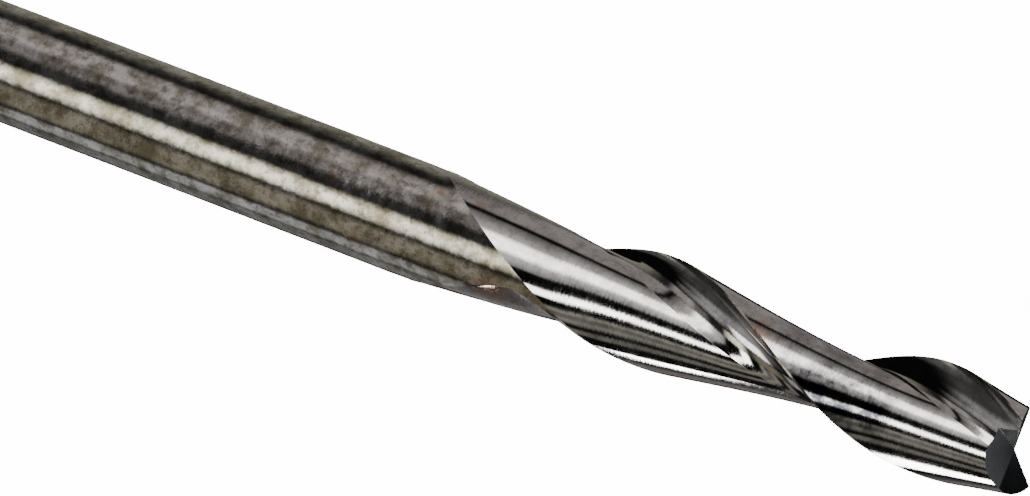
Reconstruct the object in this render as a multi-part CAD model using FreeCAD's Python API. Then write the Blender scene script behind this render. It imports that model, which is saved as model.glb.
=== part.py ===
import FreeCAD, Part
import math
import os

# Two-flute carbide milling cutter, ground from one round blank.
# Millimetres and degrees. The origin is the centre of the shank's end face and +Z runs
# along the axis to the cutting tip.

# Blank: the cutting end is ground a little under the shank's size, with a long blend
# between them along the run-out
shank_diameter = 3.175
cutting_diameter = 3.15
overall_length = 38.0
shank_chamfer = 0.3
seam_azimuth = 40.0

# Flutes: right-hand helix, one flute in front of each cutting edge
flute_count = 2
helix_angle = 30.2
land_width = 0.06
heel_radius = 0.77
heel_angle = 121.0
back_bow = 0.48
rake_angle = 8.0
tip_azimuth = 0.0

# Run-out: the grind starts shallow and narrow on the shank, and gains width and depth
flute_length = 18.9
width_run = 4.3
depth_run = 9.4
depth_power = 1.3
start_width = 6.0
start_lift = 0.06

# Cutting end: each end edge rises from the centre to its corner, with a narrow relief
# behind it up to a radial ridge, and a steep clearance behind the ridge
dish_angle = 12.0
ridge_angle = 59.6
clearance_angle = 33.0

# The ground surfaces reach past the blank and past the tip
outside = 0.5
overrun = 0.6
stations_per_turn = 30
back_points = 12
gullet_points = 9

shank_radius = shank_diameter / 2
radius = cutting_diameter / 2
lead = math.pi * cutting_diameter / math.tan(math.radians(helix_angle))
pitch_angle = 360.0 / flute_count
land_angle = math.degrees(land_width / radius)
corner_rise = radius * math.tan(math.radians(dish_angle))


def polar(r, angle):
    """Point in the section at radius r and an angle in degrees."""
    a = math.radians(angle)
    return FreeCAD.Vector(r * math.cos(a), r * math.sin(a), 0)


def gullet_circle():
    """Centre and radius of the arc that leaves the cutting edge along the rake angle and
    meets the heel point."""
    edge = polar(radius, pitch_angle)
    inward = polar(1.0, pitch_angle + 180.0 - rake_angle)
    normal = FreeCAD.Vector(-inward.y, inward.x, 0)
    heel = polar(heel_radius, heel_angle)
    chord = heel - edge
    rho = chord.dot(chord) / (2 * chord.dot(normal))
    return edge + normal * rho, rho


def back_profile():
    """The tooth's back at full depth, as (angle, radius) pairs: a bowed spiral that falls
    from the round land to the heel. It starts a little before the land, outside the blank."""
    drop = radius - heel_radius
    first = -outside / 3 / drop
    pairs = []
    for i in range(back_points):
        share = first + (1 - first) * i / (back_points - 1)
        r = radius - drop * share * (1 + back_bow * (1 - share))
        pairs.append((land_angle + (heel_angle - land_angle) * share, r))
    return pairs


def gullet_profile():
    """The gullet at full depth, as (angle, radius) pairs: an arc from the heel to the next
    cutting edge, and its tangent a little past it."""
    centre, rho = gullet_circle()
    heel = polar(heel_radius, heel_angle) - centre
    edge = polar(radius, pitch_angle) - centre
    start = math.degrees(math.atan2(heel.y, heel.x))
    sweep = math.degrees(heel.getAngle(edge))
    points = []
    for i in range(gullet_points):
        p = centre + polar(rho, start - sweep * i / (gullet_points - 1))
        points.append(p)
    past = polar(outside, pitch_angle - rake_angle)
    points.append(points[-1] + past * 0.5)
    points.append(points[-1] + past * 0.5)
    pairs = []
    for p in points:
        angle = math.degrees(math.atan2(p.y, p.x)) % 360
        pairs.append((angle, p.Length))
    return pairs


def settled(share, sharpness):
    """A share that grows evenly and then settles towards 1 without a kink."""
    return share / (1 + share ** sharpness) ** (1 / sharpness)


def eased(along, run, start, sharpness):
    """Share of the full grind at a distance from its start. It is 1 at the tip."""
    whole = settled(start + flute_length / run, sharpness)
    return settled(start + along / run, sharpness) / whole


def run_out(along):
    """Width share, depth share and lift of the grind at a distance from its start."""
    width = eased(along, width_run, start_width / pitch_angle, 8)
    depth = eased(along, depth_run, 0.0, 4) ** depth_power
    lift = start_lift * max(0.0, 1 - along / width_run) ** 2
    return width, depth, lift


def ground_row(pairs, station):
    """Points of the ground profile at one station along the axis. The back lies at
    smaller azimuth than its cutting edge."""
    width, depth, lift = run_out(station - overall_length + flute_length)
    edge_azimuth = 360.0 * (station - overall_length) / lead
    row = []
    for angle, r in pairs:
        p = polar(radius - depth * (radius - r) + lift, edge_azimuth - angle * width)
        row.append(FreeCAD.Vector(p.x, p.y, station))
    return row


def ground_face(azimuth):
    """Surface that the wheel leaves on one tooth's back and in the gullet behind it. All
    of its borders lie outside the blank."""
    pairs = back_profile() + gullet_profile()[1:]
    start = overall_length - flute_length
    count = int(round((flute_length + overrun) / lead * stations_per_turn))
    step = (flute_length + overrun) / count
    rows = [ground_row(pairs, start + step * i) for i in range(count + 1)]
    surface = Part.BSplineSurface()
    surface.interpolate(rows)
    face = surface.toShape()
    face.rotate(FreeCAD.Vector(), FreeCAD.Vector(0, 0, 1), azimuth)
    return face


def end_tool(azimuth):
    """Solid above one end tooth: the relief falls from the end edge to the ridge and the
    clearance falls away behind it. It covers the half of the end behind that edge."""
    w = shank_diameter
    relief = corner_rise / (radius * math.sin(math.radians(ridge_angle)))
    slope = math.tan(math.radians(clearance_angle))
    outline = [(-w, w * relief), (0, 0), (w, -w * slope), (w, w), (-w, w), (-w, w * relief)]
    points = [FreeCAD.Vector(-w, -d, z) for d, z in outline]
    prism = Part.Face(Part.makePolygon(points)).extrude(FreeCAD.Vector(2 * w, 0, 0))
    prism.rotate(FreeCAD.Vector(), FreeCAD.Vector(0, 0, 1), azimuth - ridge_angle)
    half = Part.makeBox(2 * w, w, 3 * w, FreeCAD.Vector(-w, -w, -w))
    half.rotate(FreeCAD.Vector(), FreeCAD.Vector(0, 0, 1), azimuth)
    tool = prism.common(half)
    tool.translate(FreeCAD.Vector(0, 0, overall_length - corner_rise))
    return tool


def blank():
    """Round blank: chamfer, shank, blend and cutting end, its seam clear of the edges."""
    flute_start = overall_length - flute_length
    outline = [
        (0, 0),
        (shank_radius - shank_chamfer, 0),
        (shank_radius, shank_chamfer),
        (shank_radius, flute_start),
        (radius, flute_start + width_run),
        (radius, overall_length),
        (0, overall_length),
        (0, 0),
    ]
    face = Part.Face(Part.makePolygon([FreeCAD.Vector(r, 0, z) for r, z in outline]))
    turned = face.revolve(FreeCAD.Vector(), FreeCAD.Vector(0, 0, 1), 360)
    turned.rotate(FreeCAD.Vector(), FreeCAD.Vector(0, 0, 1), seam_azimuth)
    return turned


def largest(shape):
    return max(shape.Solids, key=lambda solid: solid.Volume)


def cutter():
    body = blank()
    for i in range(flute_count):
        pieces, _ = body.generalFuse([ground_face(tip_azimuth + i * pitch_angle)])
        body = largest(pieces)
    for i in range(flute_count):
        body = largest(body.cut(end_tool(tip_azimuth + i * pitch_angle)))
    return body


os.makedirs("parts", exist_ok=True)
milling_cutter = cutter()
milling_cutter.exportStep("parts/milling_cutter.step")
print("valid", milling_cutter.isValid(), "volume", milling_cutter.Volume, "faces", len(milling_cutter.Faces))
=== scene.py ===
import math

import bpy
import numpy as np
from mathutils import Matrix, Vector


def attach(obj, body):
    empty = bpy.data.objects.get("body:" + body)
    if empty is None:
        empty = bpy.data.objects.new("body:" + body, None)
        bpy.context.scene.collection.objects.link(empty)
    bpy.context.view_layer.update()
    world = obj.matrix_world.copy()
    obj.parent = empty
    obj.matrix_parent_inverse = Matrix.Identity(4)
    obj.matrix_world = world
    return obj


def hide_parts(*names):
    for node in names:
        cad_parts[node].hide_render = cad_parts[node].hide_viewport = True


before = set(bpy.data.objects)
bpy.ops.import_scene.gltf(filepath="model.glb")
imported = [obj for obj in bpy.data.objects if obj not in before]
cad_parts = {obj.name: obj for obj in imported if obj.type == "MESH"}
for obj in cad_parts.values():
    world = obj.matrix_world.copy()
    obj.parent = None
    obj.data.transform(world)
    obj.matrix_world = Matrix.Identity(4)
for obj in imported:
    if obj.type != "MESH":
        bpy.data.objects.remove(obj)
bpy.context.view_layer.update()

bl_info = {
    "name": "Carbide milling cutter",
    "version": (1, 0, 0),
    "blender": (4, 5, 0),
    "location": "3D View > Sidebar > Cutter",
    "description": "Two-flute carbide milling cutter with a plain studio around it",
    "category": "Object",
}

MM = 0.001
FLOOR_BRIGHTNESS = 16.0

# Columns of the mesh on one tooth's groove and on the land behind it, the column that
# follows the heel, and the least share of the groove on either side of that column
GROOVE_COLUMNS = 100
LAND_COLUMNS = 12
TOOTH_COLUMNS = GROOVE_COLUMNS + LAND_COLUMNS
HEEL_COLUMN = 66
HEEL_SHARE = HEEL_COLUMN / (GROOVE_COLUMNS - 1)
HEEL_MARGIN = 0.1

# Rows of the mesh on the plain shank, on the length where its columns are drawn to the
# grooves, and on the flutes, where they crowd a little towards the start. The rows near the
# tip settle onto the ground end.
SHANK_ROWS = 12
DRAWN_ROWS = 90
FLUTE_ROWS = 300
FIRST_ROW = 0.6
DRAWN_LENGTH = 4.0
ROW_CROWDING = 1.15
TIP_LENGTH = 3.0

# Material slots of the cutter. The flute's finish starts FINISH_START above the flute's own
# start. A face of the end is a wall where the upward part of its normal is under WALL_TILT.
# The gash slot carries painted shade: the end's wall faces get a near-black colour for the shadow
# they lie in.
SHANK_SLOT, FLUTE_SLOT, END_SLOT, GASH_SHADE_SLOT = range(4)
FINISH_START = 0.1
WALL_TILT = 0.6
SHARP_ANGLE = math.radians(20.0)

# The photograph's view of the upright tool, in degrees and millimetres
VIEW_AZIMUTH = 30.4
VIEW_ELEVATION = 19.2
VIEW_LEAN = 20.94
TARGET_HEIGHT = 22.37
TARGET_SIDE = 0.2513
CAMERA_DISTANCE = 430.7
CAMERA_LENS = 554.7

# Stained patches on the carbide: middle and radius in millimetres, and how much of the stain's
# colour shows
RUST_PATCHES = (
    ((1.53, 0.38, 30.15), 0.80, 0.75),
    ((0.25, 1.35, 22.50), 1.00, 0.90),
    ((1.50, 0.53, 17.26), 0.30, 0.75),
    ((1.50, -0.35, 21.35), 0.22, 0.75),
    ((1.57, -0.23, 20.26), 0.35, 0.75),
    ((0.49, 1.51, 18.35), 0.40, 0.75),
)
SOOT_PATCHES = (
    ((1.03, 1.18, 31.70), 1.30, 1.00),
    ((0.94, 1.18, 32.40), 1.40, 1.00),
    ((0.87, 1.10, 33.10), 1.30, 1.00),
    ((0.79, 1.03, 33.80), 1.00, 0.95),
    ((1.12, -0.36, 31.10), 1.20, 0.50),
    ((0.95, -0.33, 32.30), 1.20, 0.50),
    ((0.87, -0.18, 33.60), 0.90, 0.45),
)

# A patch's edge: how far noise lengthens the distances, and where the stain starts and is
# full, all in the patch's radii
PATCH_WOBBLE = 2.0
PATCH_OUTER = 1.8
PATCH_INNER = 1.1

# Names of the cutter's finishes; the one for the gash walls is painted shade
SHANK_FINISH = "Round ground carbide"
FLUTE_FINISH = "Flute ground carbide"
END_FINISH = "End ground carbide"
GASH_SHADE_FINISH = "Gash wall painted shade"


class CutterSizes(bpy.types.PropertyGroup):
    shank_diameter: bpy.props.FloatProperty(
        name="Shank diameter", description="Diameter of the shank, in mm", default=3.175)
    cutting_diameter: bpy.props.FloatProperty(
        name="Cutting diameter", description="Diameter over the cutting edges, in mm",
        default=3.15)
    overall_length: bpy.props.FloatProperty(
        name="Overall length", description="Length from the shank's end to the tip, in mm",
        default=38.0)
    shank_chamfer: bpy.props.FloatProperty(
        name="Shank chamfer", description="Chamfer on the shank's end, in mm", default=0.3)
    helix_angle: bpy.props.FloatProperty(
        name="Helix angle", description="Lean of the cutting edges from the axis",
        default=math.radians(30.2), subtype="ANGLE", unit="ROTATION")
    land_width: bpy.props.FloatProperty(
        name="Land width", description="Round land behind each cutting edge, in mm", default=0.06)
    heel_radius: bpy.props.FloatProperty(
        name="Heel radius", description="Radius where a tooth's back meets the gullet, in mm",
        default=0.77)
    heel_angle: bpy.props.FloatProperty(
        name="Heel angle", description="Angle of the heel behind its cutting edge",
        default=math.radians(121.0), subtype="ANGLE", unit="ROTATION")
    back_bow: bpy.props.FloatProperty(
        name="Back bow", description="How much faster a back falls at its edge than evenly",
        default=0.48)
    rake_angle: bpy.props.FloatProperty(
        name="Rake angle", description="Undercut of the gullet at the cutting edge",
        default=math.radians(8.0), subtype="ANGLE", unit="ROTATION")
    flute_length: bpy.props.FloatProperty(
        name="Flute length", description="Length of the ground flutes, in mm", default=18.9)
    width_run: bpy.props.FloatProperty(
        name="Width run", description="Length in which a flute reaches its width, in mm",
        default=4.3)
    depth_run: bpy.props.FloatProperty(
        name="Depth run", description="Length in which a flute reaches its depth, in mm",
        default=9.4)
    depth_power: bpy.props.FloatProperty(
        name="Depth power", description="How slowly the depth starts", default=1.3)
    start_width: bpy.props.FloatProperty(
        name="Start width", description="Width of a flute at its start",
        default=math.radians(6.0), subtype="ANGLE", unit="ROTATION")
    start_lift: bpy.props.FloatProperty(
        name="Start lift", description="Lift of the ground surface at its start, in mm",
        default=0.06)
    dish_angle: bpy.props.FloatProperty(
        name="Dish angle", description="Rise of the end edges towards their corners",
        default=math.radians(12.0), subtype="ANGLE", unit="ROTATION")
    ridge_angle: bpy.props.FloatProperty(
        name="Ridge angle", description="Angle from the end edge to the ridge behind it",
        default=math.radians(59.6), subtype="ANGLE", unit="ROTATION")
    clearance_angle: bpy.props.FloatProperty(
        name="Clearance angle", description="Fall of the end clearance behind the ridge",
        default=math.radians(33.0), subtype="ANGLE", unit="ROTATION")


class CutterColours(bpy.types.PropertyGroup):
    carbide: bpy.props.FloatVectorProperty(
        name="Carbide", description="Colour of clean ground carbide", subtype="COLOR",
        size=3, default=(0.56, 0.545, 0.53))
    worn_shank: bpy.props.FloatVectorProperty(
        name="Worn shank", description="Colour of the shank where its film is rubbed off",
        subtype="COLOR", size=3, default=(0.70, 0.685, 0.665))
    olive_stain: bpy.props.FloatVectorProperty(
        name="Olive stain", description="Colour of the dull film on the shank", subtype="COLOR",
        size=3, default=(0.255, 0.237, 0.185))
    brown_stain: bpy.props.FloatVectorProperty(
        name="Brown stain", description="Colour of the brown spots", subtype="COLOR",
        size=3, default=(0.145, 0.127, 0.108))
    rust_stain: bpy.props.FloatVectorProperty(
        name="Rust stain", description="Colour of the few reddish patches", subtype="COLOR",
        size=3, default=(0.50, 0.33, 0.26))
    soot_stain: bpy.props.FloatVectorProperty(
        name="Soot stain", description="Colour of the few dark patches", subtype="COLOR",
        size=3, default=(0.028, 0.030, 0.036))
    grey_film: bpy.props.FloatVectorProperty(
        name="Grey film", description="Colour of the dull film on the flutes", subtype="COLOR",
        size=3, default=(0.37, 0.355, 0.345))
    facet: bpy.props.FloatVectorProperty(
        name="End facets", description="Colour of the dull end facets", subtype="COLOR",
        size=3, default=(0.36, 0.38, 0.40))
    floor: bpy.props.FloatVectorProperty(
        name="Floor", description="Colour of the floor", subtype="COLOR",
        size=3, default=(0.9, 0.9, 0.9))


def sizes():
    return bpy.context.scene.cutter_sizes


def colours():
    return bpy.context.scene.cutter_colours


def settled(share, sharpness):
    """Share / (1 + share^sharpness)^(1/sharpness): grows evenly, then settles towards 1."""
    return share / (1 + share ** sharpness) ** (1 / sharpness)


def eased(along, run, start, sharpness):
    """Settled (start + along/run), divided by its own value at the tip."""
    whole = settled(start + sizes().flute_length / run, sharpness)
    return settled(start + along / run, sharpness) / whole


def run_out(z):
    """Width share, depth share and lift of the grind at height z.

    The width share is eased over width_run, the depth share is eased over depth_run and
    raised to depth_power, and the lift falls to nothing as (1 - along/width_run)^2."""
    s = sizes()
    along = np.clip(z - s.overall_length + s.flute_length, 0.0, None)
    width = eased(along, s.width_run, s.start_width / math.pi, 8)
    depth = eased(along, s.depth_run, 0.0, 4) ** s.depth_power
    lift = s.start_lift * np.clip(1 - along / s.width_run, 0.0, None) ** 2
    return width, depth, lift


def blank_radius(z):
    """Radius of the round blank at height z: the shank's, blended evenly over width_run
    down to the cutting end's, and less the chamfer's rise at the shank's end."""
    s = sizes()
    start = s.overall_length - s.flute_length
    shank, cut = s.shank_diameter / 2, s.cutting_diameter / 2
    r = shank + (cut - shank) * np.clip((z - start) / s.width_run, 0.0, 1.0)
    return r - np.clip(s.shank_chamfer - z, 0.0, None)


def edge_azimuth(z):
    """Azimuth of the first cutting edge at height z: 2 pi (z - length) tan(helix) over the
    cutting circumference."""
    s = sizes()
    return 2 * (z - s.overall_length) * math.tan(s.helix_angle) / s.cutting_diameter


def full_profile():
    """Section of one back and gullet at full depth: distance along it, angle behind the
    cutting edge, and radius, and the distance at which the heel lies.

    The back is a spiral from the land to the heel. With share the part of that angle passed,
    its radius falls by (cutting radius - heel radius) * share * (1 + bow * (1 - share)).
    The gullet is the circle that leaves the next edge along the rake angle and meets the
    heel; it is walked evenly from the heel to that edge."""
    s = sizes()
    r = s.cutting_diameter / 2
    land = s.land_width / r
    back_angle = np.linspace(land, s.heel_angle, 900)
    share = (back_angle - land) / (s.heel_angle - land)
    back_r = r - (r - s.heel_radius) * share * (1 + s.back_bow * (1 - share))
    edge = np.array((-r, 0.0))
    inward = np.array((math.cos(-s.rake_angle), math.sin(-s.rake_angle)))
    normal = np.array((-inward[1], inward[0]))
    heel = s.heel_radius * np.array((math.cos(s.heel_angle), math.sin(s.heel_angle)))
    chord = heel - edge
    rho = chord @ chord / (2 * chord @ normal)
    centre = edge + normal * rho
    first = math.atan2(*(heel - centre)[::-1])
    last = math.atan2(*(edge - centre)[::-1])
    sweep = (first - last) % (2 * math.pi)
    turn = first - sweep * np.linspace(0.0, 1.0, 900)[1:]
    x = centre[0] + rho * np.cos(turn)
    y = centre[1] + rho * np.sin(turn)
    angle = np.concatenate((back_angle, np.arctan2(y, x) % (2 * math.pi)))
    angle[-1] = math.pi
    radius = np.concatenate((back_r, np.hypot(x, y)))
    px, py = radius * np.cos(angle), radius * np.sin(angle)
    walk = np.concatenate(((0.0,), np.cumsum(np.hypot(np.diff(px), np.diff(py)))))
    return walk, angle, radius, walk[len(back_angle) - 1]


def groove_limits(z, profile):
    """Where the ground profile leaves the round blank on either side, as distances along
    the profile. It leaves it where its full-depth radius is
    cutting radius - (cutting radius + lift - blank radius) / depth share."""
    walk, _, radius, _ = profile
    r = sizes().cutting_diameter / 2
    _, depth, lift = run_out(z)
    crossing = r - (r + lift - blank_radius(z)) / np.maximum(depth, 1e-6)
    low = int(np.argmin(radius))
    crossing = np.maximum(crossing, radius[low])
    back = np.interp(-crossing, -radius[:low + 1], walk[:low + 1])
    front = np.interp(crossing, radius[low:], walk[low:])
    return back, front


def groove_point(share, z, profile):
    """Angle behind the edge and radius of the ground surface at height z, where share runs
    from 0 at the back of the land over HEEL_SHARE at the heel to 1 at the next cutting edge.
    The full-depth profile is made shallower by the depth share, lifted, and narrowed by the
    width share."""
    walk, angle, radius, heel = profile
    r = sizes().cutting_diameter / 2
    width, depth, lift = run_out(z)
    back, front = groove_limits(z, profile)
    margin = HEEL_MARGIN * (front - back)
    bend = np.clip(heel, back + margin, front - margin)
    at = np.where(share < HEEL_SHARE, back + (bend - back) * share / HEEL_SHARE,
                  bend + (front - bend) * (share - HEEL_SHARE) / (1 - HEEL_SHARE))
    ground = r - depth * (r - np.interp(at, walk, radius)) + lift
    ground = np.minimum(ground, blank_radius(z))
    on_blank = (share <= 0.0) | (share >= 1.0)
    return np.interp(at, walk, angle) * width, np.where(on_blank, blank_radius(z), ground)


def column_plan():
    """For each column round the cutter: which tooth it follows, its share across the groove,
    its share across the round land behind the groove (-1 on a groove column)."""
    groove = np.arange(GROOVE_COLUMNS) / (GROOVE_COLUMNS - 1)
    land = np.arange(1, LAND_COLUMNS + 1) / (LAND_COLUMNS + 1)
    share = np.concatenate((groove, np.ones(LAND_COLUMNS)))
    across = np.concatenate((np.full(GROOVE_COLUMNS, -1.0), land))
    tooth = np.repeat((0, 1), len(share))
    return tooth, np.tile(share, 2), np.tile(across, 2)


def section_point(plan, z, profile):
    """Angle behind the first edge and radius for every column at heights z. A land column
    lies on the blank, evenly between the front of its groove and the back of the next."""
    tooth, share, across = plan
    angle, radius = groove_point(share, z, profile)
    front, _ = groove_point(np.ones_like(share), z, profile)
    back, _ = groove_point(np.zeros_like(share), z, profile)
    on_land = across >= 0
    land_angle = front + (math.pi + back - front) * np.maximum(across, 0.0)
    angle = np.where(on_land, land_angle, angle) + math.pi * tooth
    return angle, np.where(on_land, blank_radius(z), radius)


def end_height(x, y):
    """Height of the ground end over the point x, y. With h the distance ahead of the ridge,
    relief rises as h times the relief slope ahead of it and clearance falls as h times the
    clearance slope behind it. The half with y > 0 is the other tooth, turned half a turn."""
    s = sizes()
    r = s.cutting_diameter / 2
    rise = r * math.tan(s.dish_angle)
    side = np.where(y < 0, 1.0, -1.0)
    ahead = side * (x * math.sin(s.ridge_angle) + y * math.cos(s.ridge_angle))
    relief = rise / (r * math.sin(s.ridge_angle))
    slope = np.where(ahead > 0, relief, math.tan(s.clearance_angle))
    return s.overall_length - rise + ahead * slope


def top_heights(plan, profile):
    """Height at which each column runs out of the ground end, found by halving."""
    s = sizes()
    low = np.full(len(plan[0]), s.overall_length - s.cutting_diameter)
    high = np.full(len(plan[0]), s.overall_length + 0.05)
    for _ in range(48):
        z = (low + high) / 2
        angle, radius = section_point(plan, z, profile)
        azimuth = edge_azimuth(z) - angle
        inside = z < end_height(radius * np.cos(azimuth), radius * np.sin(azimuth))
        low, high = np.where(inside, z, low), np.where(inside, high, z)
    return low


def cutter_grid(plan, profile):
    """Heights, azimuths and radii on a grid of rows by columns, the angles behind the first
    edge, and the count of the shank's rows.

    The shank's rows have evenly spaced columns, drawn over its last part into the places
    that the grooves need. The fluted rows end at each column's own top height."""
    s = sizes()
    start = s.overall_length - s.flute_length
    fine = np.linspace(start, start + 1.0, 4001)[:, None]
    back, front = groove_limits(fine, profile)
    first = float(fine[np.argmax((front - back)[:, 0] > 1e-4), 0])
    drawn = first - DRAWN_LENGTH
    shank = np.concatenate(((0.0, s.shank_chamfer), np.linspace(FIRST_ROW, drawn, SHANK_ROWS),
                            np.linspace(drawn, first, DRAWN_ROWS + 1)[1:]))
    step = np.linspace(0.0, 1.0, FLUTE_ROWS + 1)[1:] ** ROW_CROWDING
    flute = first + (s.overall_length - first) * step
    top = top_heights(plan, profile)
    z = np.concatenate((shank, flute))[:, None] * np.ones((1, len(top)))
    settling = np.clip((z - s.overall_length) / TIP_LENGTH + 1.0, 0.0, 1.0)
    z = z - (s.overall_length - top) * settling
    angle, radius = section_point(plan, np.maximum(z, first), profile)
    radius = np.where(z < first, blank_radius(z), radius)
    even = np.linspace(0.0, 2 * math.pi, len(top), endpoint=False)
    share = np.clip((first - z) / DRAWN_LENGTH, 0.0, 1.0)
    share = share * share * (3 - 2 * share)
    angle = angle + (even - angle) * share
    azimuth = edge_azimuth(np.maximum(z, first)) - angle
    return z, azimuth, radius, angle, len(shank)


def grid_faces(rows, columns):
    """Quads between neighbouring rows and columns, closed round the last column, with their
    corners so that the faces point outwards when the columns run clockwise."""
    row, column = np.meshgrid(np.arange(rows - 1), np.arange(columns), indexing="ij")
    ahead = (column + 1) % columns
    corners = (row * columns + column, (row + 1) * columns + column,
               (row + 1) * columns + ahead, row * columns + ahead)
    return np.stack(corners, axis=-1).reshape(-1, 4), row.ravel(), column.ravel()


def fan_faces(first, columns, centre, outward):
    """Triangles from one centre point to a closed row of points."""
    here = first + np.arange(columns)
    ahead = first + (np.arange(columns) + 1) % columns
    middle = np.full(columns, centre)
    order = (here, middle, ahead) if outward else (here, ahead, middle)
    return np.stack(order, axis=-1)


def build_mesh(name, vertices, quads, triangles, materials):
    """Mesh from numpy arrays: vertex places, then the quads' and triangles' corners."""
    mesh = bpy.data.meshes.new(name)
    loops = np.concatenate((quads.ravel(), triangles.ravel())).astype(np.int32)
    counts = np.concatenate((np.full(len(quads), 4), np.full(len(triangles), 3)))
    starts = np.concatenate(((0,), np.cumsum(counts)[:-1])).astype(np.int32)
    mesh.vertices.add(len(vertices))
    mesh.loops.add(len(loops))
    mesh.polygons.add(len(counts))
    mesh.vertices.foreach_set("co", vertices.astype(np.float32).ravel())
    mesh.loops.foreach_set("vertex_index", loops)
    mesh.polygons.foreach_set("loop_start", starts)
    mesh.polygons.foreach_set("material_index", materials.astype(np.int32))
    mesh.update(calc_edges=True)
    mesh.validate()
    return mesh


def mark_sharp(mesh, sharp_columns, columns, first, grid_count):
    """Sharp edges: those along the marked columns from the vertex first on, and those where
    two faces meet at more than SHARP_ANGLE."""
    mesh.shade_smooth()
    mesh.set_sharp_from_angle(angle=SHARP_ANGLE)
    ends = np.empty(2 * len(mesh.edges), dtype=np.int32)
    mesh.edges.foreach_get("vertices", ends)
    ends = ends.reshape(-1, 2)
    column = ends % columns
    fluted = ((ends >= first) & (ends < grid_count)).all(axis=1)
    along = fluted & (column[:, 0] == column[:, 1])
    marked = along & np.isin(column[:, 0], sharp_columns)
    sharp = mesh.attributes["sharp_edge"]
    values = np.empty(len(mesh.edges), dtype=bool)
    sharp.data.foreach_get("value", values)
    sharp.data.foreach_set("value", values | marked)


def finish_piece(name, mesh, materials):
    piece = bpy.data.objects.new(name, mesh)
    bpy.context.scene.collection.objects.link(piece)
    for material in materials:
        mesh.materials.append(material)
    return piece


class CUTTER_OT_body(bpy.types.Operator):
    """Grinds the shank, the flutes and the end of the cutter as one closed surface"""
    bl_idname = "cutter.body"
    bl_label = "Cutter body"

    def execute(self, context):
        plan = column_plan()
        profile = full_profile()
        z, azimuth, radius, angle, shank_rows = cutter_grid(plan, profile)
        rows, columns = z.shape
        grid = np.stack((radius * np.cos(azimuth), radius * np.sin(azimuth), z), axis=-1)
        s = sizes()
        tip = (0.0, 0.0, s.overall_length - s.cutting_diameter / 2 * math.tan(s.dish_angle))
        vertices = np.concatenate((grid.reshape(-1, 3), ((0.0, 0.0, 0.0), tip))) * MM
        quads, row, column = grid_faces(rows, columns)
        bottom = fan_faces(0, columns, rows * columns, True)
        top = fan_faces((rows - 1) * columns, columns, rows * columns + 1, False)
        on_tooth = column % TOOTH_COLUMNS < GROOVE_COLUMNS - 1
        fluted = z[row, column] > s.overall_length - s.flute_length + FINISH_START
        finish = np.where(on_tooth & fluted, FLUTE_SLOT, SHANK_SLOT)
        here = grid[-1] - np.array(tip)
        normal = np.cross(here, np.roll(here, -1, axis=0))
        wall = np.abs(normal[:, 2]) < WALL_TILT * np.linalg.norm(normal, axis=1)
        # The end's walls take the gash slot, whose near-black colour is painted shade.
        finish = np.concatenate((finish, np.full(columns, SHANK_SLOT),
                                 np.where(wall, GASH_SHADE_SLOT, END_SLOT)))
        mesh = build_mesh("cutter_body", vertices, quads, np.concatenate((bottom, top)), finish)
        sharp = [start + column for start in (0, TOOTH_COLUMNS)
                 for column in (0, HEEL_COLUMN, GROOVE_COLUMNS - 1)]
        mark_sharp(mesh, sharp, columns, (shank_rows - 1) * columns, rows * columns)
        unroll(mesh, z, angle, columns, len(quads))
        piece = finish_piece("cutter_body", mesh,
                             [shank_material(), flute_material(), end_material(),
                              gash_shade_material()])
        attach(piece, "root")
        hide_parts("milling_cutter")
        return {"FINISHED"}


def unroll(mesh, z, angle, columns, quad_count):
    """UV map in millimetres: across = angle behind the first edge times the radius, along =
    height. The last column's faces carry on past the full turn."""
    index = np.empty(len(mesh.loops), dtype=np.int32)
    mesh.loops.foreach_get("vertex_index", index)
    last = z.size
    place = np.minimum(index, last - 1)
    across = angle.ravel()[place]
    along = z.ravel()[place]
    quad_loops = np.arange(len(index)) < 4 * quad_count
    face_first = across[:4 * quad_count].reshape(-1, 4)
    wrapped = face_first.max(axis=1) - face_first.min(axis=1) > math.pi
    lift = np.repeat(wrapped, 4) & (across[:4 * quad_count] < math.pi)
    across[:4 * quad_count] += np.where(lift, 2 * math.pi, 0.0)
    across = np.where(quad_loops, across, 0.0) * sizes().cutting_diameter / 2
    layer = mesh.uv_layers.new(name="ground")
    layer.data.foreach_set("uv", np.stack((across, along), axis=-1).astype(np.float32).ravel())


def new_group(name, inputs, outputs):
    group = bpy.data.node_groups.new(name, "ShaderNodeTree")
    for label, kind, value in inputs:
        socket = group.interface.new_socket(label, in_out="INPUT", socket_type=kind)
        if value is not None:
            socket.default_value = value
    for label, kind in outputs:
        group.interface.new_socket(label, in_out="OUTPUT", socket_type=kind)
    start = group.nodes.new("NodeGroupInput")
    end = group.nodes.new("NodeGroupOutput")
    return group, start, end


def noise(tree, scale, detail, roughness=0.55):
    node = tree.nodes.new("ShaderNodeTexNoise")
    node.inputs["Scale"].default_value = scale
    node.inputs["Detail"].default_value = detail
    node.inputs["Roughness"].default_value = roughness
    return node


def mapping(tree, scale):
    node = tree.nodes.new("ShaderNodeMapping")
    node.inputs["Scale"].default_value = scale
    return node


def map_range(tree, low, high, to_low=0.0, to_high=1.0):
    node = tree.nodes.new("ShaderNodeMapRange")
    node.inputs["From Min"].default_value = low
    node.inputs["From Max"].default_value = high
    node.inputs["To Min"].default_value = to_low
    node.inputs["To Max"].default_value = to_high
    return node


def math_node(tree, operation, first, second):
    """Math node whose inputs are sockets or plain numbers."""
    node = tree.nodes.new("ShaderNodeMath")
    node.operation = operation
    for socket, value in zip(node.inputs, (first, second)):
        if isinstance(value, (int, float)):
            socket.default_value = value
        elif value is not None:
            tree.links.new(value, socket)
    return node.outputs[0]


def mix_colour(tree):
    node = tree.nodes.new("ShaderNodeMix")
    node.data_type = "RGBA"
    return node


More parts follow.
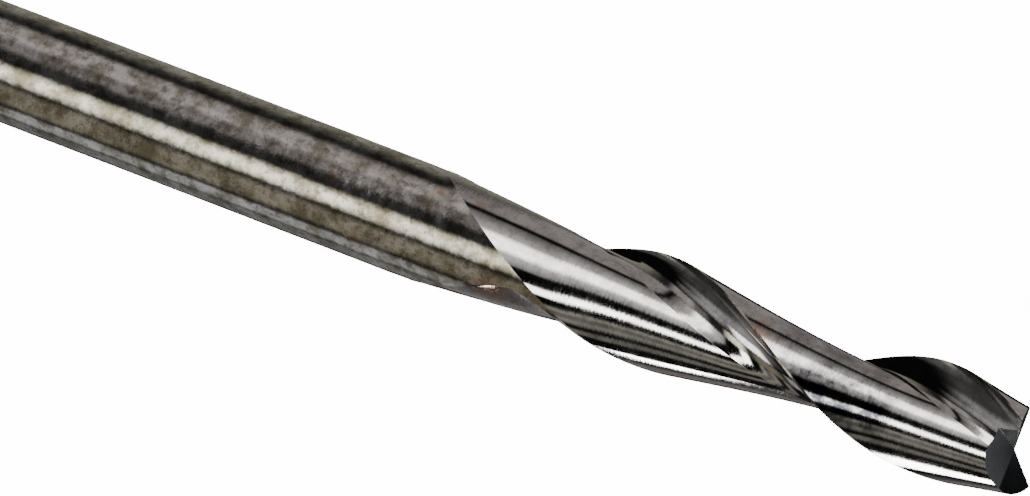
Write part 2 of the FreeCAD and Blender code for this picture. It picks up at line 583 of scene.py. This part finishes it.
def grinding_group():
    """Grinding marks: noise drawn out along the UV map's height or round the cutter. Gives a
    height for bump and a mask that varies the roughness."""
    name = "Grinding marks"
    if name in bpy.data.node_groups:
        return bpy.data.node_groups[name]
    group, start, end = new_group(
        name, [("Vector", "NodeSocketVector", None)],
        [("Height", "NodeSocketFloat"), ("Mask", "NodeSocketFloat")])
    links = group.links
    fine = noise(group, 1.0, 2.0, 0.4)
    broad = noise(group, 0.22, 2.0)
    for node in (fine, broad):
        links.new(start.outputs["Vector"], node.inputs["Vector"])
    spread = map_range(group, 0.3, 0.7)
    links.new(broad.outputs["Fac"], spread.inputs["Value"])
    links.new(fine.outputs["Fac"], end.inputs["Height"])
    links.new(spread.outputs["Result"], end.inputs["Mask"])
    return group


def stain_group():
    """Dull film and brown spots: two clouds of noise on the piece, one broad and soft and
    one small and sparse."""
    name = "Carbide stains"
    if name in bpy.data.node_groups:
        return bpy.data.node_groups[name]
    group, start, end = new_group(
        name, [("Vector", "NodeSocketVector", None), ("Clean", "NodeSocketColor", (1, 1, 1, 1)),
               ("Film", "NodeSocketColor", (1, 1, 1, 1)),
               ("Spot", "NodeSocketColor", (1, 1, 1, 1)),
               ("Film amount", "NodeSocketFloat", 0.5),
               ("Spot amount", "NodeSocketFloat", 0.5)],
        [("Color", "NodeSocketColor")])
    links = group.links
    film = noise(group, 1300.0, 8.0, 0.7)
    spot = noise(group, 3600.0, 8.0, 0.75)
    for node in (film, spot):
        links.new(start.outputs["Vector"], node.inputs["Vector"])
    film_mask = map_range(group, 0.40, 0.60)
    spot_mask = map_range(group, 0.50, 0.62)
    links.new(film.outputs["Fac"], film_mask.inputs["Value"])
    links.new(spot.outputs["Fac"], spot_mask.inputs["Value"])
    colour = start.outputs["Clean"]
    for stain, mask in (("Film", film_mask), ("Spot", spot_mask)):
        share = math_node(group, "MULTIPLY", mask.outputs["Result"],
                          start.outputs[stain + " amount"])
        mixed = mix_colour(group)
        links.new(share, mixed.inputs["Factor"])
        links.new(colour, mixed.inputs["A"])
        links.new(start.outputs[stain], mixed.inputs["B"])
        colour = mixed.outputs["Result"]
    links.new(colour, end.inputs["Color"])
    return group


def place_group(tree, group):
    node = tree.nodes.new("ShaderNodeGroup")
    node.node_tree = group
    return node


def patch_amount(tree, place, patches):
    """Share of a stain over the piece: a patch's own share near its middle and 0 towards its
    radius, with the distances to the patches' middles lengthened by noise."""
    wobble = noise(tree, 2800.0, 6.0, 0.7)
    tree.links.new(place, wobble.inputs["Vector"])
    total = 0.0
    for middle, radius, share in patches:
        distance = tree.nodes.new("ShaderNodeVectorMath")
        distance.operation = "DISTANCE"
        tree.links.new(place, distance.inputs[0])
        distance.inputs[1].default_value = [part * MM for part in middle]
        shift = math_node(tree, "MULTIPLY", wobble.outputs["Fac"],
                          PATCH_WOBBLE * radius * MM)
        patch = map_range(tree, PATCH_OUTER * radius * MM, PATCH_INNER * radius * MM,
                          0.0, share)
        tree.links.new(math_node(tree, "ADD", distance.outputs["Value"], shift),
                       patch.inputs["Value"])
        total = math_node(tree, "MAXIMUM", patch.outputs["Result"], total)
    return total


def carbide_material(name, clean, film_colour, film, spots, lines, bump, rough):
    """Ground carbide. film and spots are how much of the dull film and of the brown spots
    shows. lines is the mapping of the grinding marks on the UV map, in marks per
    millimetre across and along, bump their depth and rough the least and greatest
    roughness."""
    material = bpy.data.materials.new(name)
    material.use_nodes = True
    tree = material.node_tree
    links = tree.links
    shader = tree.nodes["Principled BSDF"]
    shader.inputs["Metallic"].default_value = 1.0
    places = tree.nodes.new("ShaderNodeTexCoord")
    unrolled = tree.nodes.new("ShaderNodeUVMap")
    unrolled.uv_map = "ground"
    stretch = mapping(tree, (lines[0], lines[1], 1.0))
    marks = place_group(tree, grinding_group())
    stains = place_group(tree, stain_group())
    links.new(unrolled.outputs["UV"], stretch.inputs["Vector"])
    links.new(stretch.outputs["Vector"], marks.inputs["Vector"])
    links.new(places.outputs["Object"], stains.inputs["Vector"])
    c = colours()
    stains.inputs["Clean"].default_value = (*clean, 1.0)
    stains.inputs["Film"].default_value = (*film_colour, 1.0)
    stains.inputs["Spot"].default_value = (*c.brown_stain, 1.0)
    stains.inputs["Film amount"].default_value = film
    stains.inputs["Spot amount"].default_value = spots
    colour = stains.outputs["Color"]
    for patches, stain in ((RUST_PATCHES, c.rust_stain), (SOOT_PATCHES, c.soot_stain)):
        stained = mix_colour(tree)
        amount = patch_amount(tree, places.outputs["Object"], patches)
        links.new(amount, stained.inputs["Factor"])
        links.new(colour, stained.inputs["A"])
        stained.inputs["B"].default_value = (*stain, 1.0)
        colour = stained.outputs["Result"]
    links.new(colour, shader.inputs["Base Color"])
    roughness = map_range(tree, 0.0, 1.0, *rough)
    links.new(marks.outputs["Mask"], roughness.inputs["Value"])
    links.new(roughness.outputs["Result"], shader.inputs["Roughness"])
    relief = tree.nodes.new("ShaderNodeBump")
    relief.inputs["Strength"].default_value = 1.0
    relief.inputs["Distance"].default_value = bump
    links.new(marks.outputs["Height"], relief.inputs["Height"])
    links.new(relief.outputs["Normal"], shader.inputs["Normal"])
    return material


def shank_material():
    c = colours()
    return carbide_material(SHANK_FINISH, tuple(c.worn_shank), tuple(c.olive_stain), 0.95, 0.7,
                            (3.0, 3.5), 5.0e-6, (0.07, 0.12))


def flute_material():
    c = colours()
    return carbide_material(FLUTE_FINISH, tuple(c.carbide), tuple(c.grey_film), 0.8, 0.4,
                            (2.5, 14.0), 7.5e-7, (0.05, 0.09))


def gash_shade_material():
    c = colours()
    # The near-black base colour is painted shade on the end's walls, not the carbide's own
    # colour.
    return carbide_material(GASH_SHADE_FINISH, (0.05, 0.05, 0.05), tuple(c.grey_film), 0.1, 0.1,
                            (20.0, 20.0), 1.0e-6, (0.25, 0.35))


def end_material():
    c = colours()
    return carbide_material(END_FINISH, tuple(c.facet), tuple(c.grey_film), 0.1, 0.1,
                            (20.0, 20.0), 1.0e-6, (0.22, 0.30))


PLAIN = (1.0, 1.0, 1.0)
WARM = (1.0, 0.955, 0.79)
OLIVE = (1.0, 0.90, 0.66)
KHAKI = (1.0, 0.98, 0.86)
ROSE = (1.0, 0.92, 0.91)

# Soft lights round the tool. Each has the azimuth of its middle from the camera's side, half
# its width and the width of its soft border, then the same three for elevation, in degrees,
# its strength and its tint.
LEVEL_LIGHTS = (
    # The backs of the teeth show these
    (-116, 36, 8, 2, 18.5, 2.5, 0.40, ROSE),
    (-40, 38, 8, 2, 18.5, 2.5, 0.25, PLAIN),
    (-35, 39, 33, 2, 18.5, 2.5, 0.7, ROSE),
    (-14, 18, 6, 2, 18.5, 2.5, 0.55, PLAIN),
    (-31, 18, 12, 2, 18.5, 2.5, 4.2, PLAIN),
    (29, 8, 5, 2, 18.5, 2.5, 10.0, PLAIN),
    (59.5, 14, 5, 2, 18.5, 2.5, 0.20, KHAKI),
    (52, 4.5, 4, 2, 18.5, 2.5, 0.25, KHAKI),
    (65, 5, 4, 2, 18.5, 2.5, 0.17, KHAKI),
    (83, 7, 5, 2, 18.5, 2.5, 0.24, KHAKI),
    (113, 9, 3, 5, 15.0, 0.8, 26.0, PLAIN),
    (148, 24, 14, 2, 18.5, 2.5, 0.10, PLAIN),
    (128, 30, 10, -14, 4, 2, 0.14, ROSE),
)
LOW_LIGHTS = (
    # A little below the tool: the shank shows these
    (0, 180, 1, -19.8, 5, 2.3, 0.03, PLAIN),
    (-150, 50, 36, -19.8, 5, 2.3, 0.26, WARM),
    (-68, 27, 18, -19.8, 5, 2.3, 0.46, ROSE),
    (-42, 24, 14, -19.8, 5, 2.3, 0.22, ROSE),
    (18, 21.5, 19.5, -19.8, 5, 2.3, 2.8, WARM),
    (64, 27, 15, -19.8, 5, 2.3, 0.27, OLIVE),
    (105, 17, 10, -19.8, 5, 2.3, 0.45, PLAIN),
    (138, 24, 14, -19.8, 5, 2.3, 0.20, PLAIN),
    # Lower still: the gullets show these
    (48, 36, 18, -30, 6, 3, 3.6, PLAIN),
    (-35, 50, 25, -30, 6, 4, 0.25, PLAIN),
    (28, 100, 60, -38, 14, 10, 0.40, PLAIN),
    (28, 100, 60, -52, 26, 20, 0.09, PLAIN),
    (0, 180, 1, -82, 18, 8, 0.12, PLAIN),
    (20, 50, 40, -84, 12, 6, 0.60, WARM),
    (-110, 40, 30, -84, 12, 6, 0.35, ROSE),
    (150, 30, 20, -84, 12, 6, 0.25, PLAIN),
    # Overhead: the end facets and the views from above show these
    (0, 120, 60, 48, 28, 20, 1.0, PLAIN),
    (0, 180, 1, 90, 25, 20, 0.16, PLAIN),
)
# The level lights' lean, in degrees, and the brightness between the lights
LEAN = 20.0
LEAN_DEPTH = 8.0
GLOOM = 0.006


def light_share(tree, distance, half, border):
    """Smooth step of the distance from a light's middle: 1 up to the border and 0 past it."""
    step = map_range(tree, half, half - border)
    step.interpolation_type = "SMOOTHSTEP"
    tree.links.new(distance, step.inputs["Value"])
    return step.outputs["Result"]


def studio_world():
    """White to the camera; reflections and light come from the soft lights. A direction's
    azimuth is atan2(y, x), less the camera's, and its elevation asin(z), both in degrees. The
    level lights lean: their azimuths fall by LEAN from LEAN_DEPTH below the level up to it.
    A light's brightness is its strength times its share round and its share upwards, and the
    lights are added."""
    world = bpy.data.worlds.new("Studio")
    world.use_nodes = True
    tree = world.node_tree
    tree.nodes.clear()
    direction = tree.nodes.new("ShaderNodeTexCoord")
    split = tree.nodes.new("ShaderNodeSeparateXYZ")
    tree.links.new(direction.outputs["Generated"], split.inputs[0])
    turn = math_node(tree, "ARCTAN2", split.outputs["Y"], split.outputs["X"])
    azimuth = math_node(tree, "SUBTRACT", math_node(tree, "DEGREES", turn, None), VIEW_AZIMUTH)
    rise = math_node(tree, "ARCSINE", split.outputs["Z"], None)
    elevation = math_node(tree, "DEGREES", rise, None)
    bend = map_range(tree, -LEAN_DEPTH, 0.0, 0.0, LEAN)
    tree.links.new(elevation, bend.inputs["Value"])
    bent_azimuth = math_node(tree, "ADD", azimuth, bend.outputs["Result"])
    total = None
    for light in LEVEL_LIGHTS + LOW_LIGHTS:
        middle, half, border, height, half_height, height_border, strength, tint = light
        place = bent_azimuth if light in LEVEL_LIGHTS else azimuth
        round_distance = math_node(tree, "PINGPONG",
                                   math_node(tree, "SUBTRACT", place, middle), 180.0)
        up_distance = math_node(tree, "ABSOLUTE",
                                math_node(tree, "SUBTRACT", elevation, height), None)
        share = math_node(tree, "MULTIPLY", light_share(tree, round_distance, half, border),
                          light_share(tree, up_distance, half_height, height_border))
        glow = tree.nodes.new("ShaderNodeVectorMath")
        glow.operation = "MULTIPLY_ADD"
        tree.links.new(share, glow.inputs[0])
        glow.inputs[1].default_value = [strength * part for part in tint]
        glow.inputs[2].default_value = (GLOOM, GLOOM, GLOOM)
        if total is not None:
            tree.links.new(total, glow.inputs[2])
        total = glow.outputs["Vector"]
    shown = tree.nodes.new("ShaderNodeBackground")
    shown.inputs["Strength"].default_value = FLOOR_BRIGHTNESS
    reflected = tree.nodes.new("ShaderNodeBackground")
    tree.links.new(total, reflected.inputs["Color"])
    rays = tree.nodes.new("ShaderNodeLightPath")
    choice = tree.nodes.new("ShaderNodeMixShader")
    tree.links.new(rays.outputs["Is Camera Ray"], choice.inputs[0])
    tree.links.new(reflected.outputs[0], choice.inputs[1])
    tree.links.new(shown.outputs[0], choice.inputs[2])
    out = tree.nodes.new("ShaderNodeOutputWorld")
    tree.links.new(choice.outputs[0], out.inputs["Surface"])
    bpy.context.scene.world = world


def place_camera():
    """Camera at the photograph's angle, looking at a point a little off the axis, rolled so
    that the tool leans below the horizontal of the picture by VIEW_LEAN."""
    around, rise, lean = (math.radians(a) for a in (VIEW_AZIMUTH, VIEW_ELEVATION, VIEW_LEAN))
    near = Vector((math.cos(around), math.sin(around), 0))
    side = Vector((math.sin(around), -math.cos(around), 0))
    axis = Vector((0, 0, 1))
    back = axis * math.sin(rise) + near * math.cos(rise)
    along = axis * math.cos(rise) - near * math.sin(rise)
    right = along * math.cos(lean) + side * math.sin(lean)
    up = side * math.cos(lean) - along * math.sin(lean)
    target = (axis * TARGET_HEIGHT + side * TARGET_SIDE) * MM
    data = bpy.data.cameras.new("Camera")
    data.lens = CAMERA_LENS
    data.sensor_width = 36.0
    data.clip_start = 0.01
    data.clip_end = 20.0
    camera = bpy.data.objects.new("Camera", data)
    turn = Matrix((right, up, back)).transposed().to_4x4()
    camera.matrix_world = Matrix.Translation(target + back * CAMERA_DISTANCE * MM) @ turn
    bpy.context.scene.collection.objects.link(camera)
    bpy.context.scene.camera = camera


def floor_light():
    data = bpy.data.lights.new("Floor light", "SUN")
    data.energy = math.pi * FLOOR_BRIGHTNESS
    data.angle = math.radians(60)
    light = bpy.data.objects.new("Floor light", data)
    light.visible_glossy = False
    bpy.context.scene.collection.objects.link(light)


class CUTTER_OT_studio(bpy.types.Operator):
    """Sets up the pale floor, the soft light and the camera"""
    bl_idname = "cutter.studio"
    bl_label = "Studio"

    def execute(self, context):
        half = 3.0
        corners = [(-half, -half, 0), (half, -half, 0), (half, half, 0), (-half, half, 0)]
        mesh = bpy.data.meshes.new("floor")
        mesh.from_pydata(corners, [], [(0, 1, 2, 3)])
        material = bpy.data.materials.new("Floor")
        material.use_nodes = True
        shader = material.node_tree.nodes["Principled BSDF"]
        shader.inputs["Base Color"].default_value = (*colours().floor, 1.0)
        shader.inputs["Roughness"].default_value = 0.9
        shader.inputs["Specular IOR Level"].default_value = 0.0
        mesh.materials.append(material)
        floor = bpy.data.objects.new("floor", mesh)
        floor.visible_glossy = False
        context.scene.collection.objects.link(floor)
        studio_world()
        floor_light()
        place_camera()
        return {"FINISHED"}


class CUTTER_PT_panel(bpy.types.Panel):
    bl_label = "Milling cutter"
    bl_idname = "CUTTER_PT_panel"
    bl_space_type = "VIEW_3D"
    bl_region_type = "UI"
    bl_category = "Cutter"

    def draw(self, context):
        for group in (context.scene.cutter_sizes, context.scene.cutter_colours):
            box = self.layout.box()
            for name in group.bl_rna.properties.keys():
                if name not in ("rna_type", "name"):
                    box.prop(group, name)
        self.layout.operator(CUTTER_OT_body.bl_idname)
        self.layout.operator(CUTTER_OT_studio.bl_idname)


CLASSES = (CutterSizes, CutterColours, CUTTER_OT_body, CUTTER_OT_studio, CUTTER_PT_panel)


def register():
    for item in CLASSES:
        bpy.utils.register_class(item)
    bpy.types.Scene.cutter_sizes = bpy.props.PointerProperty(type=CutterSizes)
    bpy.types.Scene.cutter_colours = bpy.props.PointerProperty(type=CutterColours)


def unregister():
    del bpy.types.Scene.cutter_colours
    del bpy.types.Scene.cutter_sizes
    for item in reversed(CLASSES):
        bpy.utils.unregister_class(item)


def main():
    register()
    bpy.ops.cutter.body()
    bpy.ops.cutter.studio()


if __name__ == "__main__":
    main()
